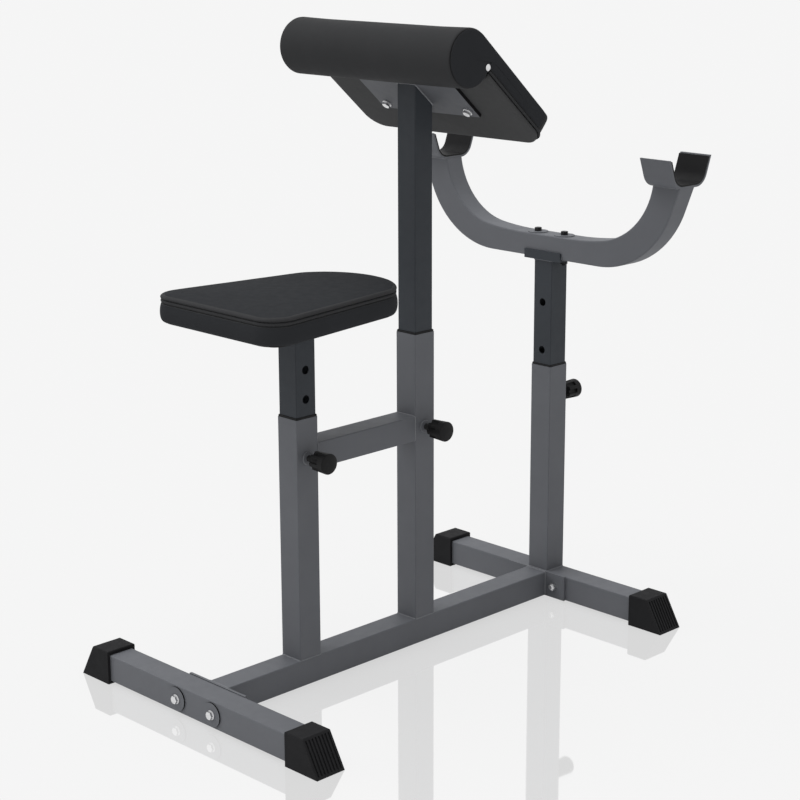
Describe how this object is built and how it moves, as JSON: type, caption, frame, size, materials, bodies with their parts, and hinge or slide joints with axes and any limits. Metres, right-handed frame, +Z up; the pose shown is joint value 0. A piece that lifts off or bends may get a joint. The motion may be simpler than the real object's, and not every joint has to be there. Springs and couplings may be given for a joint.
{
  "type": "preacher curl bench",
  "caption": "Free-standing preacher curl bench with a height-adjustable seat, sloped arm pad and cupped barbell rack, each on a sliding post with a screw lock.",
  "frame": {"origin": "on the floor, under the middle of the overall box", "axes": "+X to the user's right, +Y from the seat to the bar rack, +Z up; all three posts at their top setting, locks unscrewed"},
  "size_m": [0.6636, 1.015, 1.1761],
  "materials": {
    "frame_paint": "satin grey powder coat",
    "post_paint": "satin anthracite powder coat",
    "black_steel": "black oxide steel",
    "zinc": "bright zinc plate",
    "cap_plastic": "black moulded plastic with a fine grain",
    "bush_plastic": "black moulded plastic",
    "grip_plastic": "black moulded plastic",
    "vinyl": "soft black upholstery vinyl",
    "plywood": "raw plywood",
    "covered_board": "board covered in black vinyl"
  },
  "bodies": {
    "frame": {"rear_stabilizer": "frame_paint", "front_stabilizer": "frame_paint", "main_beam": "frame_paint", "rear_flange_plate": "frame_paint", "front_flange_plate": "frame_paint", "rear_base_bolts": "zinc", "rear_base_washers": "frame_paint", "rear_base_nuts": "zinc", "front_base_bolts": "zinc", "front_base_washers": "frame_paint", "front_base_nuts": "zinc", "rear_left_cap": "cap_plastic", "rear_right_cap": "cap_plastic", "front_left_cap": "cap_plastic", "front_right_cap": "cap_plastic", "seat_sleeve": "frame_paint", "arm_sleeve": "frame_paint", "rack_sleeve": "frame_paint", "link_tube": "frame_paint", "seat_bush": "bush_plastic", "arm_bush": "bush_plastic", "rack_bush": "bush_plastic", "seat_boss": "frame_paint", "arm_boss": "frame_paint", "rack_boss": "frame_paint"},
    "seat_carriage": {"seat_post": "post_paint", "seat_plate": "post_paint", "seat_board": "plywood", "seat_cushion": "vinyl", "seat_bolts": "zinc", "seat_washers": "zinc"},
    "arm_carriage": {"arm_post": "post_paint", "arm_plate": "frame_paint", "arm_board": "covered_board", "arm_cushion": "vinyl", "arm_bolts": "zinc", "arm_washers": "zinc", "arm_tacks": "zinc"},
    "rack_carriage": {"rack_post": "post_paint", "rack_cradle": "post_paint", "rack_bar": "frame_paint", "left_bar_cup": "frame_paint", "left_cup_liner": "bush_plastic", "right_bar_cup": "frame_paint", "right_cup_liner": "bush_plastic", "rack_bolts": "post_paint", "rack_washers": "frame_paint", "rack_nuts": "zinc"},
    "seat_lock_pin": {"seat_lock_stud": "black_steel"},
    "seat_lock_knob": {"seat_lock_grip": "grip_plastic"},
    "arm_lock_pin": {"arm_lock_stud": "black_steel"},
    "arm_lock_knob": {"arm_lock_grip": "grip_plastic"},
    "rack_lock_pin": {"rack_lock_stud": "black_steel"},
    "rack_lock_knob": {"rack_lock_grip": "grip_plastic"}
  },
  "joints": [
    {"name": "seat_height", "type": "slide", "parent": "frame", "child": "seat_carriage", "axis": [0, 0, 1], "range_m": [-0.159, 0]},
    {"name": "arm_height", "type": "slide", "parent": "frame", "child": "arm_carriage", "axis": [0, 0, 1], "range_m": [-0.159, 0]},
    {"name": "rack_height", "type": "slide", "parent": "frame", "child": "rack_carriage", "axis": [0, 0, 1], "range_m": [-0.193, 0]},
    {"name": "seat_pin_slide", "type": "slide", "parent": "frame", "child": "seat_lock_pin", "axis": [1, 0, 0], "range_m": [-0.012, 0]},
    {"name": "seat_knob_turn", "type": "hinge", "parent": "seat_lock_pin", "child": "seat_lock_knob", "pos_m": [0.06, -0.2485, 0.4316], "axis": [1, 0, 0], "range_deg": [-2160, 0]},
    {"name": "arm_pin_slide", "type": "slide", "parent": "frame", "child": "arm_lock_pin", "axis": [1, 0, 0], "range_m": [-0.012, 0]},
    {"name": "arm_knob_turn", "type": "hinge", "parent": "arm_lock_pin", "child": "arm_lock_knob", "pos_m": [0.06, 0.0449, 0.4315], "axis": [1, 0, 0], "range_deg": [-2160, 0]},
    {"name": "rack_pin_slide", "type": "slide", "parent": "frame", "child": "rack_lock_pin", "axis": [0, 1, 0], "range_m": [-0.012, 0]},
    {"name": "rack_knob_turn", "type": "hinge", "parent": "rack_lock_pin", "child": "rack_lock_knob", "pos_m": [0, 0.4835, 0.417], "axis": [0, 1, 0], "range_deg": [-2160, 0]}
  ],
  "couplings": [
    {"joint": "seat_knob_turn", "follows": "seat_pin_slide", "rad_per_m": 3141.6},
    {"joint": "arm_knob_turn", "follows": "arm_pin_slide", "rad_per_m": 3141.6},
    {"joint": "rack_knob_turn", "follows": "rack_pin_slide", "rad_per_m": 3141.6}
  ]
}
